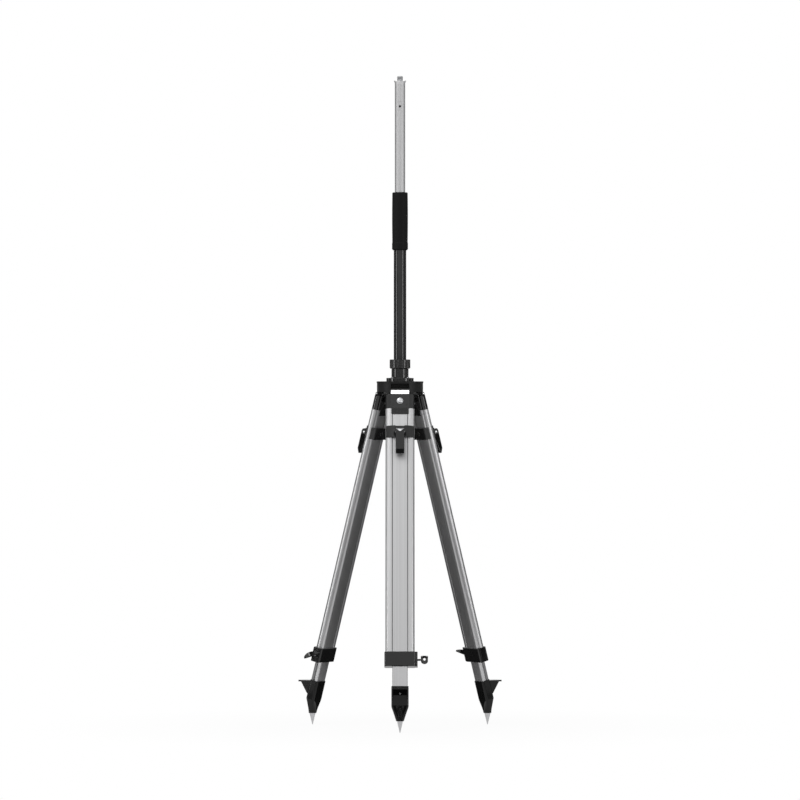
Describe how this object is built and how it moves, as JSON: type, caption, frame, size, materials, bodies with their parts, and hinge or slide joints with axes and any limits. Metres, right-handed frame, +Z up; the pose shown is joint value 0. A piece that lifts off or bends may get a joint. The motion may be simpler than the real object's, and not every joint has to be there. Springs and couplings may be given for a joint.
{
  "type": "survey pole tripod",
  "caption": "Survey tripod with folding, extending flat aluminium legs, spiked feet and a slotted head that clamps a telescoping pole with a grip and a threaded instrument stud.",
  "frame": {"origin": "on the pole's axis at ground level, in the plane that the spikes' tips stand on", "axes": "+Z up along the pole, -Y towards the front leg, +X to the right seen from the front"},
  "size_m": [0.5262, 0.4759, 1.6714],
  "materials": {
    "satin_aluminium": "satin clear anodised",
    "bright_aluminium": "fine machined",
    "black_casting": "black powder coat, fine texture",
    "black_plastic": "moulded, satin",
    "black_tube": "black semi gloss",
    "grip_rubber": "matte",
    "steel": "bright zinc plated",
    "grey_fitting": "grey anodised"
  },
  "bodies": {
    "head": {"head_hub": "black_casting", "pole_socket": "black_casting", "flange_screws": "steel", "collet": "black_plastic", "front_hinge_axle": "bright_aluminium", "right_hinge_axle": "bright_aluminium", "left_hinge_axle": "bright_aluminium"},
    "clamp_nut": {"clamp_nut": "black_plastic"},
    "pole": {"lower_tube": "black_tube", "grip": "grip_rubber", "guide_bush": "black_plastic"},
    "pole_top": {"upper_tube": "satin_aluminium", "top_fitting": "grey_fitting", "instrument_stud": "grey_fitting"},
    "front_leg": {"front_hinge_casting": "black_casting", "front_clamp_jaw": "black_casting", "front_pinch_bolt": "steel", "front_rail_left": "satin_aluminium", "front_rail_right": "satin_aluminium", "front_clamp_band": "black_plastic", "front_clamp_back": "black_plastic", "front_lever_pin": "steel", "front_pressure_pad": "bright_aluminium", "front_collar": "black_plastic"},
    "front_foot": {"front_inner_leg": "satin_aluminium", "front_shoe": "black_casting", "front_spike": "steel"},
    "front_lever": {"front_clamp_lever": "black_plastic"},
    "front_screw": {"front_thumb_screw": "black_plastic"},
    "right_leg": {"right_hinge_casting": "black_casting", "right_clamp_jaw": "black_casting", "right_pinch_bolt": "steel", "right_rail_left": "satin_aluminium", "right_rail_right": "satin_aluminium", "right_clamp_band": "black_plastic", "right_clamp_back": "black_plastic", "right_lever_pin": "steel", "right_pressure_pad": "bright_aluminium", "right_collar": "black_plastic"},
    "right_foot": {"right_inner_leg": "satin_aluminium", "right_shoe": "black_casting", "right_spike": "steel"},
    "right_lever": {"right_clamp_lever": "black_plastic"},
    "right_screw": {"right_thumb_screw": "black_plastic"},
    "left_leg": {"left_hinge_casting": "black_casting", "left_clamp_jaw": "black_casting", "left_pinch_bolt": "steel", "left_rail_left": "satin_aluminium", "left_rail_right": "satin_aluminium", "left_clamp_band": "black_plastic", "left_clamp_back": "black_plastic", "left_lever_pin": "steel", "left_pressure_pad": "bright_aluminium", "left_collar": "black_plastic"},
    "left_foot": {"left_inner_leg": "satin_aluminium", "left_shoe": "black_casting", "left_spike": "steel"},
    "left_lever": {"left_clamp_lever": "black_plastic"},
    "left_screw": {"left_thumb_screw": "black_plastic"}
  },
  "joints": [
    {"name": "nut_turn", "type": "hinge", "parent": "head", "child": "clamp_nut", "pos_m": [0, 0, 0.92034], "axis": [0, 0, 1], "continuous": true},
    {"name": "pole_lift", "type": "slide", "parent": "head", "child": "pole", "axis": [0, 0, 1], "range_m": [0, 0.06]},
    {"name": "pole_telescope", "type": "slide", "parent": "pole", "child": "pole_top", "axis": [0, 0, 1], "range_m": [-0.265, 0]},
    {"name": "front_leg_swing", "type": "hinge", "parent": "head", "child": "front_leg", "pos_m": [0, -0.0454, 0.85664], "axis": [-1, 0, 0], "range_deg": [-14, 15]},
    {"name": "front_foot_slide", "type": "slide", "parent": "front_leg", "child": "front_foot", "axis": [0, -0.2597, -0.9657], "range_m": [0, 0.45]},
    {"name": "front_lever_open", "type": "hinge", "parent": "front_leg", "child": "front_lever", "pos_m": [0, -0.09868, 0.75861], "axis": [-1, 0, 0], "range_deg": [0, 100]},
    {"name": "front_screw_turn", "type": "hinge", "parent": "front_leg", "child": "front_screw", "pos_m": [0.0445, -0.22664, 0.18258], "axis": [1, 0, 0], "continuous": true},
    {"name": "right_leg_swing", "type": "hinge", "parent": "head", "child": "right_leg", "pos_m": [0.03932, 0.0227, 0.85664], "axis": [0.5, -0.866, 0], "range_deg": [-14, 15]},
    {"name": "right_foot_slide", "type": "slide", "parent": "right_leg", "child": "right_foot", "axis": [0.2249, 0.1298, -0.9657], "range_m": [0, 0.45]},
    {"name": "right_lever_open", "type": "hinge", "parent": "right_leg", "child": "right_lever", "pos_m": [0.08546, 0.04934, 0.75861], "axis": [0.5, -0.866, 0], "range_deg": [0, 100]},
    {"name": "right_screw_turn", "type": "hinge", "parent": "right_leg", "child": "right_screw", "pos_m": [0.17403, 0.15186, 0.18258], "axis": [-0.5, 0.866, 0], "continuous": true},
    {"name": "left_leg_swing", "type": "hinge", "parent": "head", "child": "left_leg", "pos_m": [-0.03932, 0.0227, 0.85664], "axis": [0.5, 0.866, 0], "range_deg": [-14, 15]},
    {"name": "left_foot_slide", "type": "slide", "parent": "left_leg", "child": "left_foot", "axis": [-0.2249, 0.1298, -0.9657], "range_m": [0, 0.45]},
    {"name": "left_lever_open", "type": "hinge", "parent": "left_leg", "child": "left_lever", "pos_m": [-0.08546, 0.04934, 0.75861], "axis": [0.5, 0.866, 0], "range_deg": [0, 100]},
    {"name": "left_screw_turn", "type": "hinge", "parent": "left_leg", "child": "left_screw", "pos_m": [-0.21853, 0.07478, 0.18258], "axis": [-0.5, -0.866, 0], "continuous": true}
  ]
}
